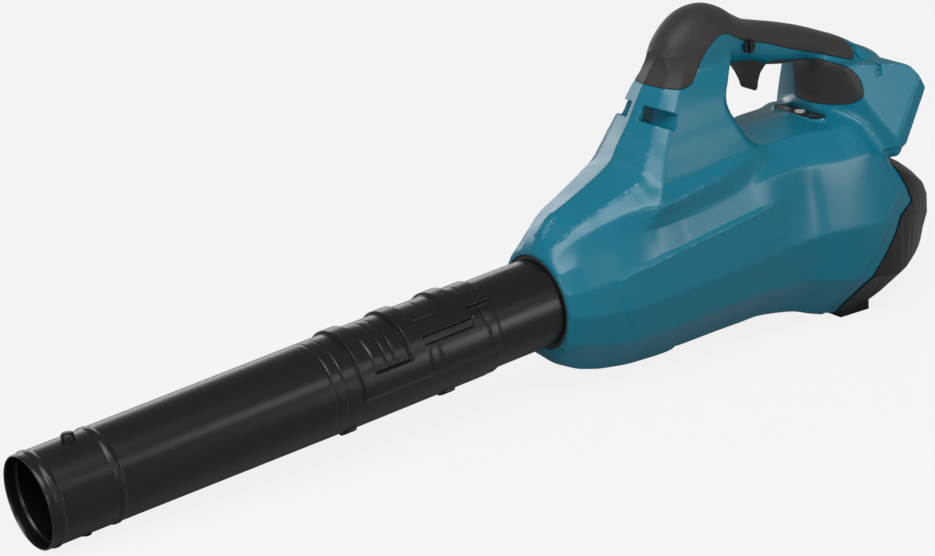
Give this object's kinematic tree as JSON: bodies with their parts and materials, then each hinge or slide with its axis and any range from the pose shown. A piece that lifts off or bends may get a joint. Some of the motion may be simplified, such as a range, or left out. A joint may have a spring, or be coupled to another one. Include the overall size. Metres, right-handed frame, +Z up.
{
  "type": "cordless leaf blower",
  "caption": "Hand-held cordless leaf blower: moulded body with a top loop handle and trigger, a telescoping round nozzle, and a rear dock for slide-in batteries.",
  "frame": {"origin": "centre of the nozzle's open end, on the axis of the air duct", "axes": "+X along the duct from the nozzle's open end to the tool's rear, +Y to the tool's right in use, +Z up towards the handle"},
  "size_m": [0.891, 0.16, 0.3182],
  "materials": {
    "housing_blue": "gloss",
    "black_plastic": "semi-gloss",
    "felt": "felt",
    "soft_grip": "matte",
    "control_black": "satin",
    "steel": "satin",
    "inner_plastic": "satin",
    "button_grey": "gloss",
    "board_green": "satin",
    "lens_smoke": "gloss",
    "copper": "satin",
    "cover_black": "satin",
    "rubber_black": "matte",
    "cast_metal": "satin"
  },
  "bodies": {
    "housing": {"housing_left": "housing_blue", "housing_right": "housing_blue", "outlet_pipe": "black_plastic", "pipe_seal": "felt", "grip_top": "soft_grip", "grip_rear": "soft_grip", "trigger_pin": "steel", "trigger_spring": "steel", "switch_body": "inner_plastic", "control_panel": "control_black", "panel_board": "board_green", "lens_left": "lens_smoke", "lens_right": "lens_smoke", "terminal_left": "control_black", "terminal_right": "control_black", "blades_left": "copper", "blades_right": "copper", "intake_cover": "cover_black", "intake_mesh": "steel", "fan_duct": "inner_plastic", "air_duct": "inner_plastic", "isolator_front": "rubber_black", "isolator_rear": "rubber_black", "motor_stator": "copper", "motor_plates": "cast_metal", "bearing_front": "steel", "bearing_rear": "steel", "controller": "cast_metal", "case_screws": "steel"},
    "nozzle": {"long_nozzle": "black_plastic"},
    "trigger": {"trigger": "control_black"},
    "cruise": {"cruise_lever": "control_black"},
    "button": {"power_button": "button_grey"},
    "fan": {"impeller": "inner_plastic", "motor_shaft": "steel", "motor_rotor": "steel"}
  },
  "joints": [
    {"name": "nozzle_slide", "type": "slide", "parent": "housing", "child": "nozzle", "axis": [1, 0, 0], "range_m": [-0.05, 0.05]},
    {"name": "trigger_hinge", "type": "hinge", "parent": "housing", "child": "trigger", "pos_m": [0.716, 0, 0.157], "axis": [0, -1, 0], "range_deg": [0, 12], "stiffness_Nm_per_rad": 0.8, "springref_deg": -5.73},
    {"name": "cruise_hinge", "type": "hinge", "parent": "housing", "child": "cruise", "pos_m": [0.7225, -0.02, 0.164], "axis": [0, -1, 0], "range_deg": [0, 80]},
    {"name": "power_button_push", "type": "slide", "parent": "housing", "child": "button", "axis": [-0.1219, 0, -0.9925], "range_m": [0, 0.001], "stiffness_N_per_m": 500, "springref_m": -0.001},
    {"name": "fan_spin", "type": "hinge", "parent": "housing", "child": "fan", "pos_m": [0.817, 0, -0.022], "axis": [1, 0, 0], "continuous": true}
  ]
}
